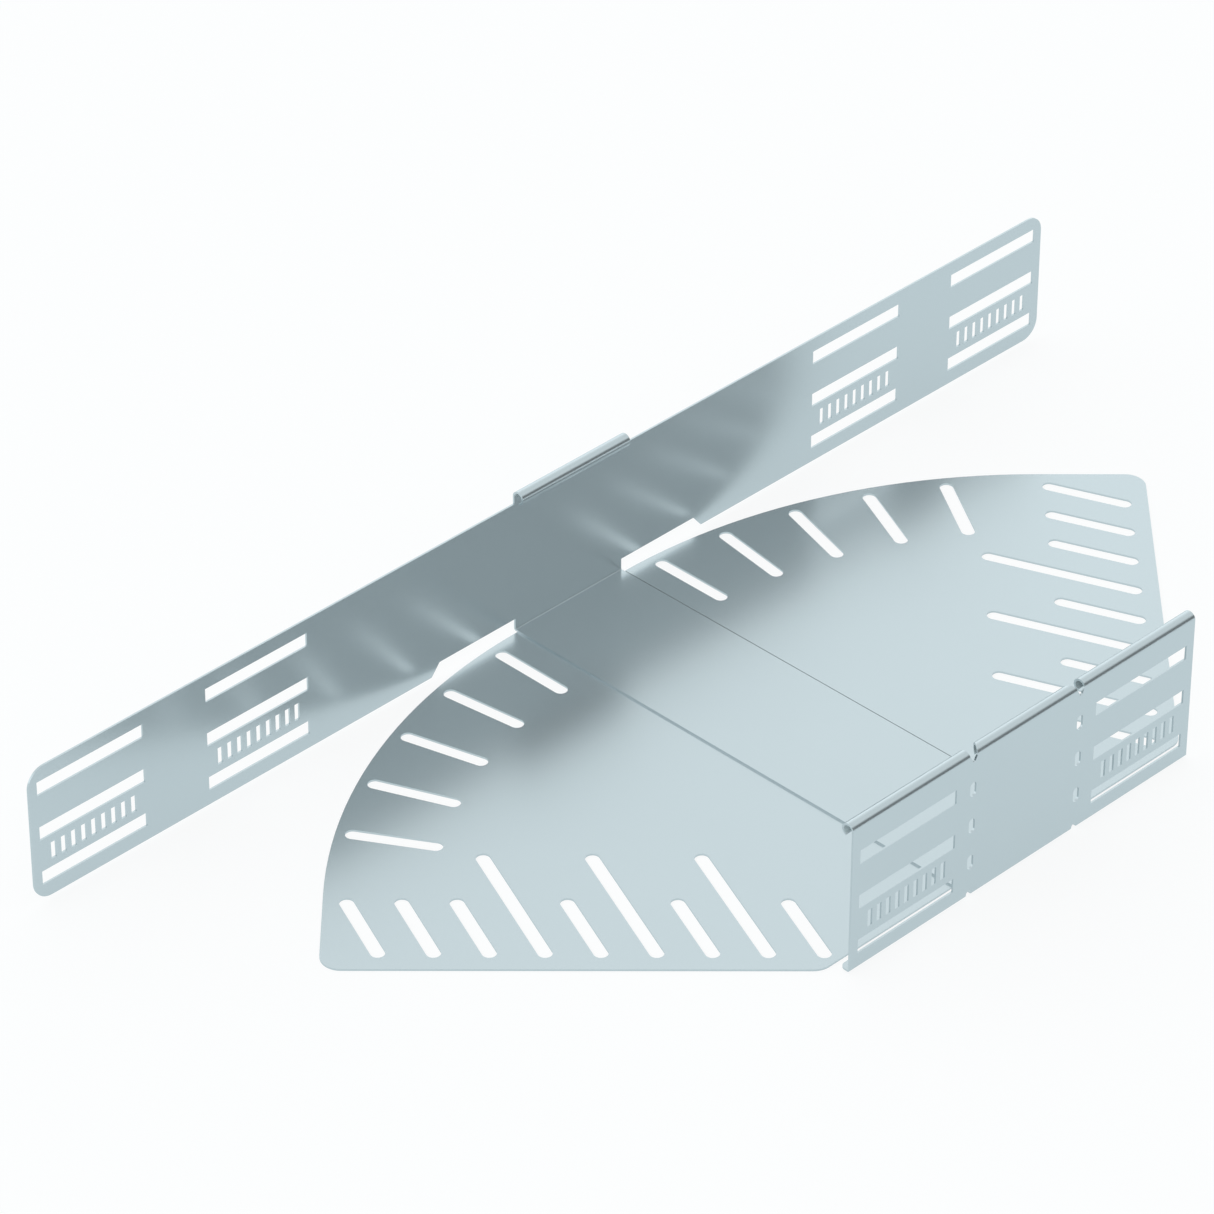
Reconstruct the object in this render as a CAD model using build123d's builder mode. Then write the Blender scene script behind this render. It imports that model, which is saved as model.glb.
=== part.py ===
from build123d import *
import os
from math import acos, cos, degrees, radians, sin, sqrt

# A flat bend for perforated cable tray, as it is delivered: the rails are still straight, and the fitter
# folds them at the two cut bend lines until the bend turns the tray by ninety degrees.
# It has three pieces. One folded sheet is the inner rail, the strip across the floor and the outer rail.
# Two fan plates lie under the strip, edge to edge, and make the floor of the turn.
# Frame: +X along the rails, +Y from the inner rail to the outer rail, +Z up. The origin lies on the mirror
# plane, midway between the outer faces of the two rails, at the underside of the fan plates.

# Sheet
sheet = 1.0
fold_inside_radius = 0.4

# Folded rail body
body_width = 295.0
rail_top = 82.4
strip_half_width = 36.0
wing_step = 8.0
wing_bottom = 1.5
wing_corner_radius = 10.0
lip_width = 6.0
lip_corner_radius = 3.0

# Rolled bead along the top of the rails
bead_outer_radius = 3.9
bead_bulge = 0.9
bead_root_radius = 1.5
bead_end_angle = -108.0

# Relief notch under each wing of the outer rail
relief_height = 6.5
relief_length = 50.4
relief_run_out = 5.3

# Bend lines of the inner rail
bead_gap_width = 5.4
bead_gap_root_width = 2.0
bead_gap_depth = 7.0
bend_slot_width = 4.0
bend_slot_length = 7.8
bend_slot_drop = 13.0
bend_slot_pitch = 20.5
bend_slot_foot = 12.0
foot_notch_width = 4.0
foot_notch_height = 3.0
foot_notch_radius = 1.5

# Slot groups of the rails
rail_slot_length = 63.0
rail_slot_height = 7.5
rail_slot_top_margin = 7.5
rail_slot_row_pitch = 25.0
rail_slot_end_margin = 5.0
inner_wing_root = 11.0
outer_wing_root = 134.3
rail_group_gap = 38.1
small_slot_width = 3.0
small_slot_height = 9.2
small_slot_pitch = 6.0
small_slot_margin = 6.0

# Fan plates
turn_angle = 45.0
fan_edge_clearance = 1.3
fan_straight_length = 53.5
fan_corner_radius = 10.0
fan_inner_margin = 10.0
fan_joint_gap = 1.0

# Slots of the fan plates
fan_slot_width = 7.0
fan_slot_length = 46.5
fan_long_slot_length = 82.5
fan_slot_margin = 3.5
radial_slot_inset = 27.8
radial_slot_pitch = 8.0
end_slot_pitch = 25.0
end_slot_tilt = 22.5
end_slot_corner_margin = 18.5
end_slot_edge_margin = 30.0
end_slots_before_long = 3

# Places worked out from the sizes above
inner_face = -body_width / 2
outer_face = body_width / 2
wing_top = rail_top - wing_step
strip_middle = sheet * 3 / 2
fold_radius = fold_inside_radius + sheet / 2
bead_radius = bead_outer_radius - sheet / 2
bead_height = rail_top - bead_outer_radius
bead_inset = bead_outer_radius - bead_bulge
inner_half_length = strip_half_width + inner_wing_root + rail_slot_length + rail_slot_end_margin
inner_group_x = inner_half_length - rail_slot_end_margin - rail_slot_length / 2
outer_near_group_x = strip_half_width + outer_wing_root + rail_slot_length / 2
outer_far_group_x = outer_near_group_x + rail_slot_length + rail_group_gap
outer_half_length = outer_far_group_x + rail_slot_length / 2 + rail_slot_end_margin


def arc_about(centre, radius, start, middle, end, inward=1):
    """Arc about a centre in the (Y, Z) section. Angles are from the inward direction towards +Z."""
    places = [
        (centre[0] + inward * radius * cos(radians(angle)), centre[1] + radius * sin(radians(angle)))
        for angle in (start, middle, end)
    ]
    ThreePointArc(*places)


def rail_line(face, inward, foot):
    """Middle line of a rail's sheet, from the rolled bead down the wall to the end of its foot.

    face is the rail's outer face, inward is +1 or -1 along Y, and foot is where the floor sheet ends.
    The root arc lies outside the wall. It is tangent to the wall and to the circle of the bead.
    """
    wall = face + inward * sheet / 2
    reach = bead_radius + bead_root_radius
    across = bead_inset - sheet / 2 + bead_root_radius
    root_height = bead_height - sqrt(reach**2 - across**2)
    lean = degrees(acos(across / reach))
    fold_height = strip_middle + fold_radius
    arc_about((face + inward * bead_inset, bead_height), bead_radius, bead_end_angle, 60, 180 + lean, inward)
    arc_about((wall - inward * bead_root_radius, root_height), bead_root_radius, lean, lean / 2, 0, inward)
    Line((wall, root_height), (wall, fold_height))
    arc_about((wall + inward * fold_radius, fold_height), fold_radius, 180, 225, 270, inward)
    Line((wall + inward * fold_radius, strip_middle), (foot, strip_middle))


def rail_slot_group(centre):
    """Long slots one above the other, with a row of small upright slots over the lowest one."""
    top_row = wing_top - rail_slot_top_margin - rail_slot_height / 2
    rows = int((top_row - rail_slot_height / 2 - wing_bottom) / rail_slot_row_pitch) + 1
    small_slots = int((rail_slot_length - 2 * small_slot_margin) / small_slot_pitch) + 1
    for row in range(rows):
        with Locations((centre, top_row - row * rail_slot_row_pitch)):
            Rectangle(rail_slot_length, rail_slot_height)
    with Locations((centre, top_row - (rows - 1.5) * rail_slot_row_pitch)):
        with GridLocations(small_slot_pitch, small_slot_pitch, small_slots, 1):
            Rectangle(small_slot_width, small_slot_height)


def bead_gap_outline(centre):
    """Gap in the bead at a bend line: straight through the bead, then narrowing to a round root."""
    top = rail_top + sheet
    root_height = rail_top - bead_gap_depth + bead_gap_root_width / 2
    root_left = (centre - bead_gap_root_width / 2, root_height)
    root_right = (centre + bead_gap_root_width / 2, root_height)
    Polyline(
        root_left,
        (centre - bead_gap_width / 2, bead_height),
        (centre - bead_gap_width / 2, top),
        (centre + bead_gap_width / 2, top),
        (centre + bead_gap_width / 2, bead_height),
        root_right,
    )
    ThreePointArc(root_right, (centre, rail_top - bead_gap_depth), root_left)


def relief_outline(side):
    """Notch between the bend line and the run-out, from the wing's lower edge up."""
    start = side * strip_half_width
    end = side * (strip_half_width + relief_length)
    run_out = side * (strip_half_width + relief_length + relief_run_out)
    top = wing_bottom + relief_height
    Polyline((start, top), (end, top), (run_out, wing_bottom), (start, wing_bottom), close=True)


with BuildPart() as rail_body:
    # Inner rail with its lips, over its whole length
    with BuildSketch(Plane.YZ) as inner_section:
        with BuildLine() as inner_line:
            rail_line(inner_face, 1, inner_face + lip_width)
        trace(line_width=sheet)
    extrude(amount=inner_half_length, both=True)

    # Strip across the floor and the middle of the outer rail
    with BuildSketch(Plane.YZ) as strip_section:
        with BuildLine() as strip_line:
            rail_line(outer_face, -1, inner_face + lip_width)
        trace(line_width=sheet)
    extrude(amount=strip_half_width, both=True)

    # Wings of the outer rail, relieved on both sides of the strip's fold
    with BuildSketch(Plane.XZ.offset(-outer_face)) as wings:
        with Locations((0, (wing_bottom + wing_top) / 2)):
            RectangleRounded(2 * outer_half_length, wing_top - wing_bottom, wing_corner_radius)
            Rectangle(2 * strip_half_width, wing_top - wing_bottom, mode=Mode.SUBTRACT)
        for side in (-1, 1):
            with BuildLine() as relief_edge:
                relief_outline(side)
            make_face(mode=Mode.SUBTRACT)
    extrude(amount=sheet)

    # Slots of the outer rail
    with BuildSketch(Plane.XZ.offset(-outer_face)) as outer_slots:
        for side in (-1, 1):
            rail_slot_group(side * outer_near_group_x)
            rail_slot_group(side * outer_far_group_x)
    extrude(amount=sheet, mode=Mode.SUBTRACT)

    # Slots of the inner rail: a group in each wing and an upright row on each bend line
    with BuildSketch(Plane.XZ.offset(-inner_face)) as inner_slots:
        bend_slots = int((wing_top - bend_slot_drop - bend_slot_foot) / bend_slot_pitch) + 1
        for side in (-1, 1):
            rail_slot_group(side * inner_group_x)
            for row in range(bend_slots):
                with Locations((side * strip_half_width, wing_top - bend_slot_drop - row * bend_slot_pitch)):
                    SlotOverall(bend_slot_length, bend_slot_width, rotation=90)
    extrude(amount=-sheet, mode=Mode.SUBTRACT)

    # Gaps in the bead where the inner rail is folded on site
    with BuildSketch(Plane.XZ.offset(bead_bulge - inner_face)) as bead_gaps:
        for side in (-1, 1):
            with BuildLine() as gap_edge:
                bead_gap_outline(side * strip_half_width)
            make_face()
    extrude(amount=-2 * bead_outer_radius, mode=Mode.SUBTRACT)

    # Notches through the foot and the lip on the bend lines
    with BuildSketch(Plane.XZ.offset(-inner_face)) as foot_notches:
        for side in (-1, 1):
            with Locations((side * strip_half_width, sheet)):
                RectangleRounded(foot_notch_width, 2 * foot_notch_height, foot_notch_radius)
    extrude(amount=-lip_width, mode=Mode.SUBTRACT)

    # Round corners at the free ends of the lips
    lip_edges = rail_body.edges().filter_by(Axis.Z).filter_by_position(
        Axis.Y, inner_face + lip_width - sheet / 100, inner_face + lip_width + sheet / 100
    )
    fillet(lip_edges.group_by(Axis.X)[0] + lip_edges.group_by(Axis.X)[-1], radius=lip_corner_radius)

rail_body.part.label = "rail_body"


def along(place, direction, distance):
    """Point at a distance from a place, in a unit direction."""
    return (place[0] + direction[0] * distance, place[1] + direction[1] * distance)


def fan_slots(side, corner, tangent, down):
    """Slots of one fan plate: a fan of radial slots along the arc and a leaning row along the end.

    corner is the sharp corner of the outer edge and the end. tangent runs along the outer edge towards
    the end, and down runs along the end towards the inner edge.
    """
    circle = body_width - sheet - fan_edge_clearance - radial_slot_inset
    for step in range(int(turn_angle / radial_slot_pitch)):
        place = radians((step + 0.5) * radial_slot_pitch)
        centre = (side * (strip_half_width + circle * sin(place)), inner_face + circle * cos(place))
        with Locations(centre):
            SlotOverall(fan_slot_length, fan_slot_width, rotation=90 - side * step * radial_slot_pitch)

    lean = (-side * sin(radians(end_slot_tilt)), cos(radians(end_slot_tilt)))
    first = along(along(corner, down, end_slot_corner_margin), tangent, -end_slot_edge_margin)
    first_foot = first[1] - (fan_slot_length - fan_slot_width) / 2 * lean[1] - fan_slot_width / 2
    room = first_foot - (inner_face + fan_inner_margin + fan_slot_margin)
    count = int(room / (end_slot_pitch * -down[1])) + 1
    for step in range(count):
        centre = along(first, down, step * end_slot_pitch)
        length = fan_slot_length
        if step >= end_slots_before_long and (step - end_slots_before_long) % 2 == 0:
            length = fan_long_slot_length
            centre = along(centre, lean, (fan_long_slot_length - fan_slot_length) / 2)
        with Locations(centre):
            SlotOverall(length, fan_slot_width, rotation=90 + side * end_slot_tilt)


os.makedirs("parts", exist_ok=True)
export_step(rail_body.part, "parts/rail_body.step")

for side, name in ((-1, "left_fan_plate"), (1, "right_fan_plate")):
    radius = body_width - sheet - fan_edge_clearance
    turn = radians(turn_angle)
    tangent = (side * cos(turn), -sin(turn))
    down = (-side * sin(turn), -cos(turn))
    pivot = (side * strip_half_width, inner_face)
    inner_edge = inner_face + fan_inner_margin
    joint_x = side * fan_joint_gap / 2
    arc_top = along(pivot, (0, 1), radius)
    arc_middle = along(pivot, (side * sin(turn / 2), cos(turn / 2)), radius)
    arc_end = along(pivot, (side * sin(turn), cos(turn)), radius)
    corner = along(arc_end, tangent, fan_straight_length)
    foot = along(corner, down, (corner[1] - inner_edge) / cos(turn))
    with BuildPart() as fan_plate:
        with BuildSketch() as fan_outline:
            with BuildLine() as fan_edge:
                ThreePointArc(arc_top, arc_middle, arc_end)
                Polyline(arc_end, corner, foot, (joint_x, inner_edge), (joint_x, arc_top[1]), arc_top)
            make_face()
            rounded = [v for v in fan_outline.vertices() if min(abs(v.X - corner[0]), abs(v.X - foot[0])) < sheet / 10]
            fillet(rounded, radius=fan_corner_radius)
            with BuildSketch(mode=Mode.SUBTRACT) as fan_cuts:
                fan_slots(side, corner, tangent, down)
        extrude(amount=sheet)
    fan_plate.part.label = name
    export_step(fan_plate.part, "parts/" + name + ".step")
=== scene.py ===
from math import cos, radians, sin, sqrt, tan

import bmesh
import bpy
import numpy as np
from mathutils import Matrix, Vector


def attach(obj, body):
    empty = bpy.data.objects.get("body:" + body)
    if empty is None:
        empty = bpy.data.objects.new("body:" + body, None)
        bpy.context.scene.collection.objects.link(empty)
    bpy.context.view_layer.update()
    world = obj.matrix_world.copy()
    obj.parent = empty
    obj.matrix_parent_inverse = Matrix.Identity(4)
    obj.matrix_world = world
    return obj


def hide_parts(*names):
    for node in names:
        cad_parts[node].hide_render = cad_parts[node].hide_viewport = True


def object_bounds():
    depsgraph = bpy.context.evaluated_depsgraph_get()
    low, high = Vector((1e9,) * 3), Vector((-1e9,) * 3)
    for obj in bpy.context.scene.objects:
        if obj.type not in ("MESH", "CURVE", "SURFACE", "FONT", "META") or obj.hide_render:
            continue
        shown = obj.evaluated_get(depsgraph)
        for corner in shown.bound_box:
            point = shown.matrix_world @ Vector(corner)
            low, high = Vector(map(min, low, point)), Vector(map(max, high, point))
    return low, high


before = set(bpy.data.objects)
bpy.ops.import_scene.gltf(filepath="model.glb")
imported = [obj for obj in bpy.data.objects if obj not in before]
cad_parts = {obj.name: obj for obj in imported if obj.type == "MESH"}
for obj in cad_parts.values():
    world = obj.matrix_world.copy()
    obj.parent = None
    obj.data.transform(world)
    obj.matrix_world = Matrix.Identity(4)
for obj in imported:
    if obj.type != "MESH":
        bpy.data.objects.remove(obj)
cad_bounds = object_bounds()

bl_info = {
    "name": "Cable Tray Bend",
    "version": (1, 0, 0),
    "blender": (4, 5, 0),
    "location": "3D View > Sidebar > Tray Bend",
    "description": "Finishes a flat cable tray bend in galvanised sheet, on a pale studio floor",
    "category": "Object",
}

BODY_NODE = "rail_body"
PLATE_NODES = ("left_fan_plate", "right_fan_plate")
BODY_WIDTH = 0.295
SHEET_MATERIAL = "bright_galvanised_sheet"
ROUND_ROWS = 64
WALL_ROWS = 24
SHARP_EDGE = radians(30.0)
LEVEL_NORMAL = 0.99999
# Height of the painted shade line along the strip's right edge, just above the fan plate.
SEAM_SHADE_HEIGHT = 0.00103


class TrayBendFinish(bpy.types.PropertyGroup):
    """Colours and roughness of the galvanised sheet, and of the matt colour that paints light into
    the bead's curl.
    """

    zinc: bpy.props.FloatVectorProperty(
        name="Zinc",
        description="Colour of the bright zinc coat, as its reflection of white",
        subtype="COLOR",
        size=3,
        min=0.0,
        max=1.0,
        default=(0.600, 0.647, 0.664),
    )
    zinc_shade: bpy.props.FloatVectorProperty(
        name="Zinc shade",
        description="Colour of the slightly duller patches of the coat",
        subtype="COLOR",
        size=3,
        min=0.0,
        max=1.0,
        default=(0.588, 0.634, 0.651),
    )
    patch_size: bpy.props.FloatProperty(
        name="Patch size",
        description="Width of the soft patches in the coat",
        default=0.06,
        min=0.001,
        unit="LENGTH",
    )
    roughness: bpy.props.FloatProperty(
        name="Roughness",
        description="Roughness of the bright sheet",
        default=0.27,
        min=0.0,
        max=1.0,
    )
    # Painted light: the inside of the curl gets a light matt colour instead of the zinc, so its
    # shaded hollow shows light grey rather than dark.
    inside: bpy.props.FloatVectorProperty(
        name="Bead inside",
        description="Colour of the dull coat inside the rolled bead",
        subtype="COLOR",
        size=3,
        min=0.0,
        max=1.0,
        default=(0.62, 0.68, 0.69),
    )
    inside_roughness: bpy.props.FloatProperty(
        name="Bead inside roughness",
        description="Roughness of the dull coat inside the rolled bead",
        default=0.6,
        min=0.0,
        max=1.0,
    )


class TrayBendBead(bpy.types.PropertyGroup):
    """Rolled bead along the top of both rails, and its gaps at the inner rail's bend lines."""

    sheet: bpy.props.FloatProperty(
        name="Sheet",
        description="Thickness of the sheet",
        default=0.001,
        min=0.0002,
        unit="LENGTH",
    )
    radius: bpy.props.FloatProperty(
        name="Bead radius",
        description="Outer radius of the rolled bead",
        default=0.0035,
        min=0.0012,
        unit="LENGTH",
    )
    top: bpy.props.FloatProperty(
        name="Rail top",
        description="Height of the top of both beads",
        default=0.0824,
        unit="LENGTH",
    )
    end_angle: bpy.props.FloatProperty(
        name="End of the curl",
        description="Where the curl's free edge lies, from the inward direction upwards",
        subtype="ANGLE",
        default=radians(-70.0),
    )
    join: bpy.props.FloatProperty(
        name="Join",
        description="Height at which the bead's sheet takes over from the wall below it",
        default=0.075,
        unit="LENGTH",
    )
    inner_reach: bpy.props.FloatProperty(
        name="Inner rail reach",
        description="Half the length of the inner rail",
        default=0.115,
        unit="LENGTH",
    )
    bend_place: bpy.props.FloatProperty(
        name="Bend line",
        description="Distance from the mirror plane to the bend lines and the outer bead's ends",
        default=0.036,
        unit="LENGTH",
    )
    gap_width: bpy.props.FloatProperty(
        name="Gap width",
        description="Width of the gap through the bead",
        default=0.0051,
        unit="LENGTH",
    )
    gap_straight: bpy.props.FloatProperty(
        name="Gap neck",
        description="Depth below the rail's top at which the gap starts to narrow",
        default=0.0022,
        unit="LENGTH",
    )
    gap_root_width: bpy.props.FloatProperty(
        name="Gap root width",
        description="Width of the gap's round root",
        default=0.0022,
        unit="LENGTH",
    )
    gap_depth: bpy.props.FloatProperty(
        name="Gap depth",
        description="Depth of the gap's root below the rail's top",
        default=0.0057,
        unit="LENGTH",
    )
    slant: bpy.props.FloatProperty(
        name="Slant",
        description="Turn of the middle bead's ends on the curl, from square",
        subtype="ANGLE",
        default=radians(35.0),
    )


class TrayBendSeamShade(bpy.types.PropertyGroup):
    """Painted shade: a dark line on the fan plate along the strip's right edge, in place of the
    shadow in the gap under that edge.
    """

    # The line's colour is painted shade, the dark of the gap's shadow, not a colour of the sheet.
    colour: bpy.props.FloatVectorProperty(
        name="Seam colour",
        description="Colour of the line",
        subtype="COLOR",
        size=3,
        min=0.0,
        max=1.0,
        default=(0.16, 0.18, 0.18),
    )
    roughness: bpy.props.FloatProperty(
        name="Seam roughness",
        description="Roughness of the line",
        default=0.9,
        min=0.0,
        max=1.0,
    )
    place: bpy.props.FloatProperty(
        name="Seam place",
        description="Distance from the mirror plane to the line",
        default=0.0369,
        min=0.0,
        unit="LENGTH",
    )
    width: bpy.props.FloatProperty(
        name="Seam width",
        description="Width of the line",
        default=0.0005,
        min=0.0,
        unit="LENGTH",
    )
    end_room: bpy.props.FloatProperty(
        name="Seam end room",
        description="Distance of the line's ends from the rails' outer faces",
        default=0.003,
        unit="LENGTH",
    )


class TrayBendStage(bpy.types.PropertyGroup):
    """Floor, sky and camera."""

    eye: bpy.props.FloatVectorProperty(
        name="Eye",
        description="Place of the camera",
        subtype="TRANSLATION",
        size=3,
        default=(-1.7117, -1.5884, 1.7084),
    )
    heading: bpy.props.FloatProperty(
        name="Heading",
        description="Direction of view in the floor plane, from +X towards +Y",
        subtype="ANGLE",
        default=radians(44.95),
    )
    dip: bpy.props.FloatProperty(
        name="Dip",
        description="How far the view looks down",
        subtype="ANGLE",
        default=radians(35.075),
    )
    roll: bpy.props.FloatProperty(
        name="Roll",
        description="Turn of the camera about its own axis",
        subtype="ANGLE",
        default=radians(0.079),
    )
    lens: bpy.props.FloatProperty(
        name="Lens",
        description="Focal length on a 36 mm sensor, in millimetres",
        default=182.17,
        min=1.0,
    )
    floor_size: bpy.props.FloatProperty(
        name="Floor size",
        description="Side of the square floor",
        default=12.0,
        min=1.0,
        unit="LENGTH",
    )
    floor_colour: bpy.props.FloatVectorProperty(
        name="Floor colour",
        description="Colour of the floor, as the sheet reflects it",
        subtype="COLOR",
        size=3,
        min=0.0,
        max=1.0,
        default=(0.846, 0.936, 0.965),
    )
    floor_depth: bpy.props.FloatProperty(
        name="Floor depth",
        description="How much of the object's shadow the sheet reflects from the floor",
        default=0.2,
        min=0.0,
        max=1.0,
        subtype="FACTOR",
    )
    floor_shadow: bpy.props.FloatProperty(
        name="Floor shadow",
        description="How much of the object's shadow the camera sees on the white floor",
        default=0.15,
        min=0.0,
        max=1.0,
        subtype="FACTOR",
    )
    sky_colour: bpy.props.FloatVectorProperty(
        name="Sky colour",
        description="Colour of the soft light half way up the sky",
        subtype="COLOR",
        size=3,
        min=0.0,
        max=2.0,
        default=(1.036, 1.131, 1.160),
    )
    sky_low: bpy.props.FloatProperty(
        name="Low sky",
        description="Strength of the sky near the horizon",
        default=1.12,
        min=0.0,
    )
    sky_high: bpy.props.FloatProperty(
        name="High sky",
        description="Strength of the sky overhead",
        default=0.78,
        min=0.0,
    )
    sky_low_end: bpy.props.FloatProperty(
        name="Low sky end",
        description="Height up to which the low sky is even, as the sine of its elevation",
        default=0.38,
    )
    sky_high_start: bpy.props.FloatProperty(
        name="High sky start",
        description="Height from which the high sky is even, as the sine of its elevation",
        default=0.85,
    )
    flag_colour: bpy.props.FloatVectorProperty(
        name="Flag colour",
        description="Colour of the dark flag that stands low beside the stage",
        subtype="COLOR",
        size=3,
        min=0.0,
        max=1.0,
        default=(0.17, 0.185, 0.19),
    )
    flag_heading: bpy.props.FloatProperty(
        name="Flag heading",
        description="Direction in which the flag stands, from +X towards +Y",
        subtype="ANGLE",
        default=radians(-52.0),
    )
    flag_top: bpy.props.FloatProperty(
        name="Flag top",
        description="Height at which the flag has faded out, as the sine of its elevation",
        default=0.70,
    )
    flag_core: bpy.props.FloatProperty(
        name="Flag core",
        description="Height up to which the flag is fully dark, as the sine of its elevation",
        default=0.38,
    )
    flag_reach: bpy.props.FloatProperty(
        name="Flag reach",
        description="Half the width of the flag, with its soft edge",
        subtype="ANGLE",
        default=radians(75.0),
    )
    flag_full: bpy.props.FloatProperty(
        name="Flag full width",
        description="Half the width over which the flag is fully dark",
        subtype="ANGLE",
        default=radians(35.0),
    )


def new_material(name):
    """Empty node material with an output, and its nodes and links."""
    material = bpy.data.materials.new(name)
    material.use_nodes = True
    nodes = material.node_tree.nodes
    nodes.clear()
    output = nodes.new("ShaderNodeOutputMaterial")
    return material, nodes, material.node_tree.links, output


def galvanised_sheet(finish):
    """Bright zinc coat, shared by all sheet: a smooth metal with wide, faint patches."""
    shared = bpy.data.materials.get(SHEET_MATERIAL)
    if shared:
        return shared
    material, nodes, links, output = new_material(SHEET_MATERIAL)
    shader = nodes.new("ShaderNodeBsdfPrincipled")
    shader.inputs["Metallic"].default_value = 1.0
    shader.inputs["Roughness"].default_value = finish.roughness
    place = nodes.new("ShaderNodeTexCoord")

    patches = nodes.new("ShaderNodeTexNoise")
    patches.inputs["Scale"].default_value = 1.0 / finish.patch_size
    patches.inputs["Detail"].default_value = 3.0
    links.new(place.outputs["Object"], patches.inputs["Vector"])

    tone = nodes.new("ShaderNodeMix")
    tone.data_type = "RGBA"
    tone.inputs["A"].default_value = (*finish.zinc_shade, 1.0)
    tone.inputs["B"].default_value = (*finish.zinc, 1.0)
    links.new(patches.outputs["Fac"], tone.inputs["Factor"])
    links.new(tone.outputs["Result"], shader.inputs["Base Color"])
    links.new(shader.outputs["BSDF"], output.inputs["Surface"])
    return material


def plain_paint(name, colour, roughness):
    """Dull, even surface of one colour."""
    material, nodes, links, output = new_material(name)
    shader = nodes.new("ShaderNodeBsdfPrincipled")
    shader.inputs["Base Color"].default_value = (*colour, 1.0)
    shader.inputs["Roughness"].default_value = roughness
    links.new(shader.outputs["BSDF"], output.inputs["Surface"])
    return material


def floor_paint(stage):
    """White floor that the sheet reflects a little darker than the sky, with a light shadow on it.

    A share of the floor is matt paint, which takes the shadow, and the rest glows evenly. The
    camera and the sheet's reflections see different shares and tones.
    """
    material, nodes, links, output = new_material("studio_floor_white")
    rays = nodes.new("ShaderNodeLightPath")
    choice = nodes.new("ShaderNodeMixShader")
    links.new(rays.outputs["Is Camera Ray"], choice.inputs["Fac"])
    seen = ((stage.floor_colour, stage.floor_depth, 1), ((1.0, 1.0, 1.0), stage.floor_shadow, 2))
    for colour, shadow, socket in seen:
        paint = nodes.new("ShaderNodeBsdfDiffuse")
        paint.inputs["Color"].default_value = (*colour, 1.0)
        glow = nodes.new("ShaderNodeEmission")
        glow.inputs["Color"].default_value = (*colour, 1.0)
        glow.inputs["Strength"].default_value = 1.0
        share = nodes.new("ShaderNodeMixShader")
        share.inputs["Fac"].default_value = shadow
        links.new(glow.outputs["Emission"], share.inputs[1])
        links.new(paint.outputs["BSDF"], share.inputs[2])
        links.new(share.outputs["Shader"], choice.inputs[socket])
    links.new(choice.outputs["Shader"], output.inputs["Surface"])
    return material


def gap_limit(bead, height):
    """Half width of the bead's gap at a height: straight, then narrowing, then a round root."""
    wide, narrow = bead.gap_width / 2, bead.gap_root_width / 2
    neck = bead.top - bead.gap_straight
    root = bead.top - bead.gap_depth + narrow
    if height >= neck:
        return wide
    if height >= root:
        return narrow + (wide - narrow) * (height - root) / (neck - root)
    return sqrt(max(narrow**2 - (root - height) ** 2, 0.0))


def bead_section(bead):
    """Both skins of the bead's sheet, from the curl's free edge over the top and down the wall.

    Every row holds the distance inward from the rail's outer face and the height of a point of the
    outer skin, then the same two for the inner skin, and the part: the curl, the arch over the top
    or the wall. On the curl and the arch a skin is a circle about the bead's centre, with the
    bead's radius or that less the sheet.
    """
    centre = bead.top - bead.radius
    inside = bead.radius - bead.sheet
    rows = []
    for angle in np.linspace(bead.end_angle, np.pi, ROUND_ROWS):
        turn = (cos(angle), sin(angle))
        outer = (bead.radius * (1 + turn[0]), centre + bead.radius * turn[1])
        inner = (bead.radius + inside * turn[0], centre + inside * turn[1])
        rows.append((outer, inner, "curl" if angle < np.pi / 2 else "arch"))
    for height in np.linspace(centre, bead.join, WALL_ROWS)[1:]:
        rows.append(((0.0, height), (bead.sheet, height), "wall"))
    return rows


def roll_bead(mesh, bead, face, inward, ends, gaps, slant=0.0):
    """Adds one length of bead to a bmesh.

    face is the rail's outer face and inward is +1 or -1 along Y. Every row of the section runs
    straight along X, between the length's ends. gaps says with 1 which end lies at a gap, and that
    end is moved in by half the gap's width at the row's height. With a slant the end is moved in
    further by the slant's tangent for each step inward beyond the wall. The inside of the curl and
    the arch takes the second material, a lighter matt copy of the zinc painted there as light, so
    the curl's shaded hollow shows light grey.
    """
    rings = []
    for outer, inner, part in bead_section(bead):
        ring = []
        for across, height in (outer, inner):
            room = bead.gap_width / 2 if part == "curl" else gap_limit(bead, height)
            room += max(across - bead.sheet, 0.0) * tan(slant)
            for x in (ends[0] + room * gaps[0], ends[1] - room * gaps[1]):
                ring.append(mesh.verts.new((x, face + inward * across, height)))
        rings.append((ring, part))
    for (ring, part), (below, _) in zip(rings, rings[1:]):
        for a, b in ((0, 1), (1, 3), (3, 2), (2, 0)):
            side = mesh.faces.new((ring[a], ring[b], below[b], below[a]))
            # The inner skin of the curl and the arch takes the matt painted-light material.
            side.material_index = int((a, b) == (3, 2) and part != "wall")
    first = rings[0][0]
    mesh.faces.new((first[0], first[2], first[3], first[1]))


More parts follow.
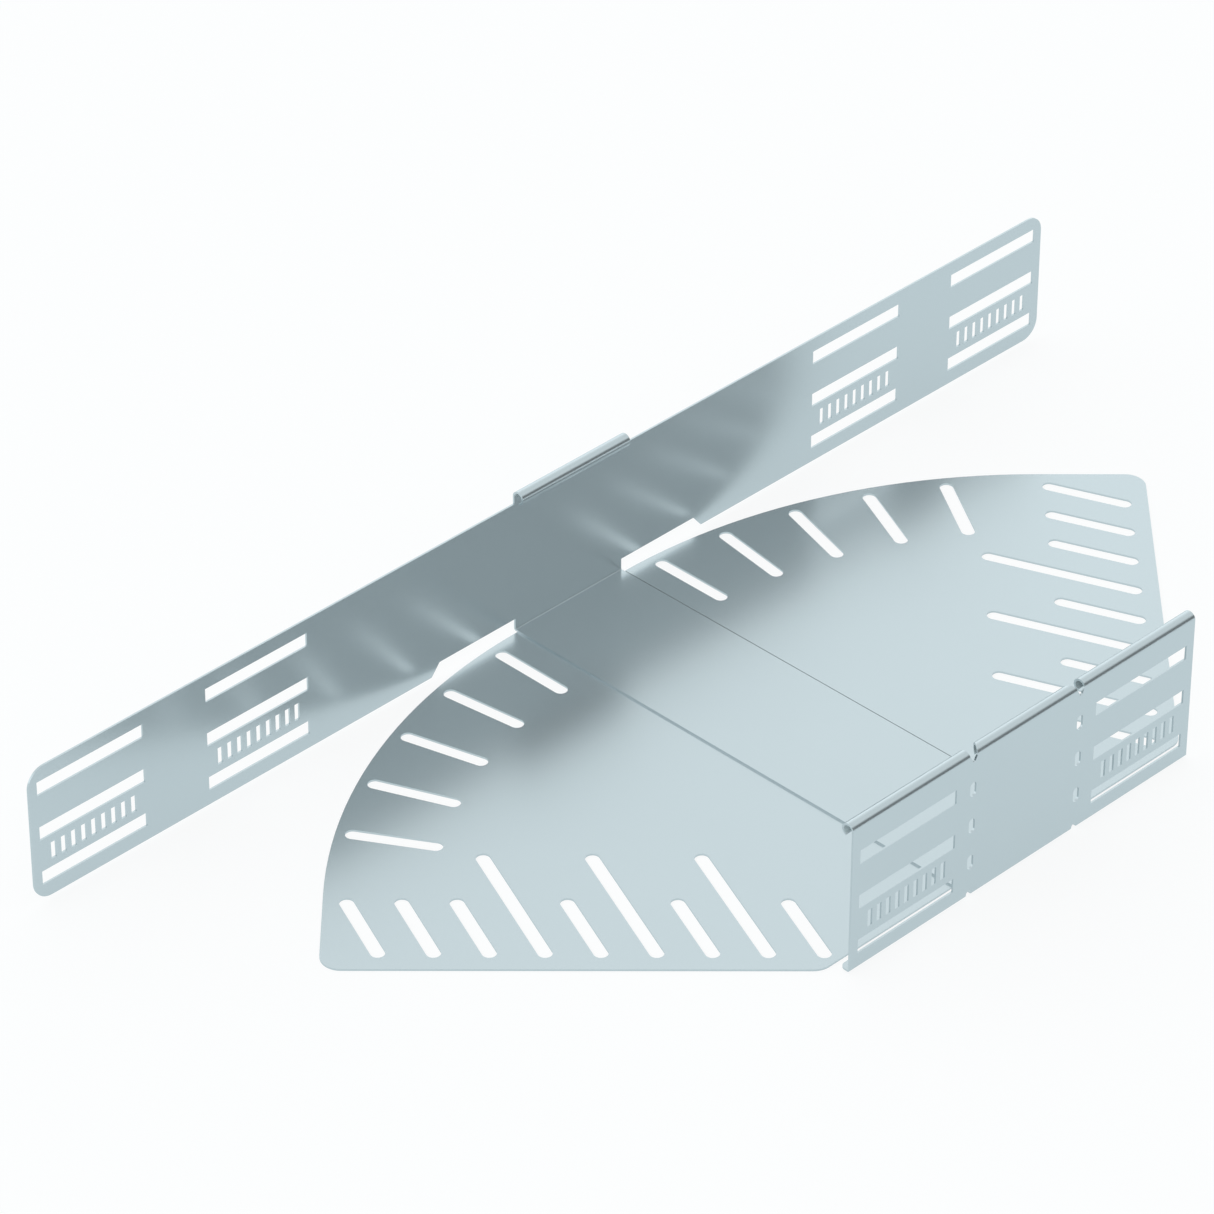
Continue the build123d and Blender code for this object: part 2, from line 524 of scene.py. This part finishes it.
class TRAYBEND_OT_roll_beads(bpy.types.Operator):
    """Roll new beads on the rail body, above the node's own walls"""

    bl_idname = "tray_bend.roll_beads"
    bl_label = "Roll the beads"

    def execute(self, context):
        bead = context.scene.tray_bend_bead
        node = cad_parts[BODY_NODE]
        faces = (-BODY_WIDTH / 2, BODY_WIDTH / 2)
        mesh = bmesh.new()
        mesh.from_mesh(node.data)
        bmesh.ops.remove_doubles(mesh, verts=mesh.verts, dist=bead.sheet / 1000)
        bmesh.ops.bisect_plane(
            mesh,
            geom=mesh.verts[:] + mesh.edges[:] + mesh.faces[:],
            plane_co=(0.0, 0.0, bead.join),
            plane_no=(0.0, 0.0, 1.0),
            clear_outer=True,
        )
        wall_inside = BODY_WIDTH / 2 - 1.5 * bead.sheet
        below = bead.join - bead.radius
        curled = [v for v in mesh.verts if v.co.z > below and abs(v.co.y) < wall_inside]
        bmesh.ops.delete(mesh, geom=curled, context="VERTS")
        reach, bend = bead.inner_reach, bead.bend_place
        roll_bead(mesh, bead, faces[0], 1, (-reach, -bend), (0, 1))
        roll_bead(mesh, bead, faces[0], 1, (-bend, bend), (1, 1), bead.slant)
        roll_bead(mesh, bead, faces[0], 1, (bend, reach), (1, 0))
        roll_bead(mesh, bead, faces[1], -1, (-bend, bend), (0, 0))
        bmesh.ops.recalc_face_normals(mesh, faces=mesh.faces[:])
        data = bpy.data.meshes.new("beaded_rail_body")
        mesh.to_mesh(data)
        mesh.free()
        data.set_sharp_from_angle(angle=SHARP_EDGE)
        rounded = [max(map(abs, face.normal)) < LEVEL_NORMAL for face in data.polygons]
        data.polygons.foreach_set("use_smooth", rounded)
        finish = context.scene.tray_bend_finish
        data.materials.append(galvanised_sheet(finish))
        # Painted light: a lighter matt copy of the zinc for the inside of the curl, so its shaded
        # hollow reads light grey.
        dull = plain_paint("bead_inside_painted_light", finish.inside, finish.inside_roughness)
        data.materials.append(dull)
        piece = bpy.data.objects.new("beaded_rail_body", data)
        context.scene.collection.objects.link(piece)
        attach(piece, "root")
        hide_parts("rail_body")
        return {"FINISHED"}


class TRAYBEND_OT_paint_seam_shade(bpy.types.Operator):
    """Paint a dark line of shade on the fan plate along the strip's right edge, where the gap
    under the edge is in shadow
    """

    bl_idname = "tray_bend.mark_seam"
    bl_label = "Mark the seam"

    def execute(self, context):
        seam = context.scene.tray_bend_seam
        reach = BODY_WIDTH / 2 - seam.end_room
        near, far = seam.place, seam.place + seam.width
        places = ((near, -reach), (far, -reach), (far, reach), (near, reach))
        # A thin dark quad painted on the plate as the gap's shadow.
        mesh = bpy.data.meshes.new("seam_shade_line")
        mesh.from_pydata([(*place, SEAM_SHADE_HEIGHT) for place in places], [], [(0, 1, 2, 3)])
        mesh.materials.append(plain_paint("seam_shadow", seam.colour, seam.roughness))
        piece = bpy.data.objects.new("seam_shade_line", mesh)
        context.scene.collection.objects.link(piece)
        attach(piece, "root")
        return {"FINISHED"}


class TRAYBEND_OT_finish_plates(bpy.types.Operator):
    """Give the two fan plates their galvanised finish"""

    bl_idname = "tray_bend.finish_plates"
    bl_label = "Finish the fan plates"

    def execute(self, context):
        material = galvanised_sheet(context.scene.tray_bend_finish)
        for name in PLATE_NODES:
            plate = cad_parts[name]
            plate.data.materials.clear()
            plate.data.materials.append(material)
        return {"FINISHED"}


class TRAYBEND_OT_build_stage(bpy.types.Operator):
    """Make the white floor, the sky and the camera"""

    bl_idname = "tray_bend.build_stage"
    bl_label = "Build the stage"

    def execute(self, context):
        stage = context.scene.tray_bend_stage
        self.lay_floor(context, stage)
        self.light_sky(context, stage)
        self.set_camera(context, stage)
        context.scene.view_settings.view_transform = "Standard"
        return {"FINISHED"}

    def lay_floor(self, context, stage):
        """Square floor at the height of the part's underside."""
        reach = stage.floor_size / 2
        drop = cad_bounds[0].z
        places = ((-reach, -reach), (reach, -reach), (reach, reach), (-reach, reach))
        mesh = bpy.data.meshes.new("studio_floor")
        mesh.from_pydata([(*place, drop) for place in places], [], [(0, 1, 2, 3)])
        mesh.materials.append(floor_paint(stage))
        floor = bpy.data.objects.new("studio_floor", mesh)
        context.scene.collection.objects.link(floor)

    def light_sky(self, context, stage):
        """Soft sky, brighter low down than overhead, with one dark flag low beside the stage.

        The sky's strength is a smooth step in height from the low to the high strength. The flag's
        share of a direction is a smooth step down in height times a smooth step in heading, which
        is the cosine between the flag's heading and the direction in the floor plane. The camera
        sees plain white.
        """
        world = bpy.data.worlds.new("white_sky")
        world.use_nodes = True
        nodes = world.node_tree.nodes
        links = world.node_tree.links
        sky = nodes["Background"]
        place = nodes.new("ShaderNodeTexCoord")
        parts = nodes.new("ShaderNodeSeparateXYZ")
        links.new(place.outputs["Generated"], parts.inputs["Vector"])
        height = nodes.new("ShaderNodeMapRange")
        height.interpolation_type = "SMOOTHERSTEP"
        height.inputs["From Min"].default_value = stage.flag_core
        height.inputs["From Max"].default_value = stage.flag_top
        height.inputs["To Min"].default_value = 1.0
        height.inputs["To Max"].default_value = 0.0
        links.new(parts.outputs["Z"], height.inputs["Value"])
        strength = nodes.new("ShaderNodeMapRange")
        strength.interpolation_type = "SMOOTHSTEP"
        strength.inputs["From Min"].default_value = stage.sky_low_end
        strength.inputs["From Max"].default_value = stage.sky_high_start
        strength.inputs["To Min"].default_value = stage.sky_low
        strength.inputs["To Max"].default_value = stage.sky_high
        links.new(parts.outputs["Z"], strength.inputs["Value"])
        links.new(strength.outputs["Result"], sky.inputs["Strength"])
        level = nodes.new("ShaderNodeVectorMath")
        level.operation = "MULTIPLY"
        level.inputs[1].default_value = (1.0, 1.0, 0.0)
        links.new(place.outputs["Generated"], level.inputs[0])
        unit = nodes.new("ShaderNodeVectorMath")
        unit.operation = "NORMALIZE"
        links.new(level.outputs["Vector"], unit.inputs[0])
        beside = nodes.new("ShaderNodeVectorMath")
        beside.operation = "DOT_PRODUCT"
        beside.inputs[1].default_value = (cos(stage.flag_heading), sin(stage.flag_heading), 0.0)
        links.new(unit.outputs["Vector"], beside.inputs[0])
        width = nodes.new("ShaderNodeMapRange")
        width.interpolation_type = "SMOOTHERSTEP"
        width.inputs["From Min"].default_value = cos(stage.flag_reach)
        width.inputs["From Max"].default_value = cos(stage.flag_full)
        links.new(beside.outputs["Value"], width.inputs["Value"])
        share = nodes.new("ShaderNodeMath")
        share.operation = "MULTIPLY"
        links.new(height.outputs["Result"], share.inputs[0])
        links.new(width.outputs["Result"], share.inputs[1])
        tone = nodes.new("ShaderNodeMix")
        tone.data_type = "RGBA"
        tone.inputs["A"].default_value = (*stage.sky_colour, 1.0)
        tone.inputs["B"].default_value = (*stage.flag_colour, 1.0)
        links.new(share.outputs["Value"], tone.inputs["Factor"])
        links.new(tone.outputs["Result"], sky.inputs["Color"])
        white = nodes.new("ShaderNodeBackground")
        white.inputs["Color"].default_value = (1.0, 1.0, 1.0, 1.0)
        white.inputs["Strength"].default_value = 1.0
        rays = nodes.new("ShaderNodeLightPath")
        choice = nodes.new("ShaderNodeMixShader")
        links.new(rays.outputs["Is Camera Ray"], choice.inputs["Fac"])
        links.new(sky.outputs["Background"], choice.inputs[1])
        links.new(white.outputs["Background"], choice.inputs[2])
        links.new(choice.outputs["Shader"], nodes["World Output"].inputs["Surface"])
        context.scene.world = world

    def set_camera(self, context, stage):
        """Long lens looking down on the part; the view's axes come from heading, dip and roll."""
        view = Vector(
            (
                cos(stage.dip) * cos(stage.heading),
                cos(stage.dip) * sin(stage.heading),
                -sin(stage.dip),
            )
        )
        level = view.cross(Vector((0.0, 0.0, 1.0))).normalized()
        upright = level.cross(view)
        right = level * cos(stage.roll) + upright * sin(stage.roll)
        up = upright * cos(stage.roll) - level * sin(stage.roll)
        lens = bpy.data.cameras.new("view")
        lens.lens = stage.lens
        lens.clip_end = 2 * stage.floor_size
        camera = bpy.data.objects.new("view", lens)
        turn = Matrix((right, up, -view)).transposed().to_4x4()
        camera.matrix_world = Matrix.Translation(stage.eye) @ turn
        context.scene.collection.objects.link(camera)
        context.scene.camera = camera


class TRAYBEND_PT_tools(bpy.types.Panel):
    """Lists the steps that dress the tray bend"""

    bl_idname = "TRAYBEND_PT_tools"
    bl_label = "Tray Bend"
    bl_space_type = "VIEW_3D"
    bl_region_type = "UI"
    bl_category = "Tray Bend"

    def draw(self, context):
        layout = self.layout
        layout.operator(TRAYBEND_OT_roll_beads.bl_idname)
        layout.operator(TRAYBEND_OT_paint_seam_shade.bl_idname)
        layout.operator(TRAYBEND_OT_finish_plates.bl_idname)
        layout.operator(TRAYBEND_OT_build_stage.bl_idname)
        scene = context.scene
        for name in GROUPS:
            group = getattr(scene, name)
            box = layout.box()
            for size in group.__annotations__:
                box.prop(group, size)


GROUPS = {
    "tray_bend_finish": TrayBendFinish,
    "tray_bend_bead": TrayBendBead,
    "tray_bend_seam": TrayBendSeamShade,
    "tray_bend_stage": TrayBendStage,
}
CLASSES = (
    *GROUPS.values(),
    TRAYBEND_OT_roll_beads,
    TRAYBEND_OT_paint_seam_shade,
    TRAYBEND_OT_finish_plates,
    TRAYBEND_OT_build_stage,
    TRAYBEND_PT_tools,
)


def register():
    for cls in CLASSES:
        bpy.utils.register_class(cls)
    for name, group in GROUPS.items():
        setattr(bpy.types.Scene, name, bpy.props.PointerProperty(type=group))


def unregister():
    for name in GROUPS:
        delattr(bpy.types.Scene, name)
    for cls in reversed(CLASSES):
        bpy.utils.unregister_class(cls)


def main():
    """Dresses the bend."""
    register()
    bpy.ops.tray_bend.roll_beads()
    # Paints the dark shade line along the strip's right edge.
    bpy.ops.tray_bend.mark_seam()
    bpy.ops.tray_bend.finish_plates()
    bpy.ops.tray_bend.build_stage()


if __name__ == "__main__":
    main()
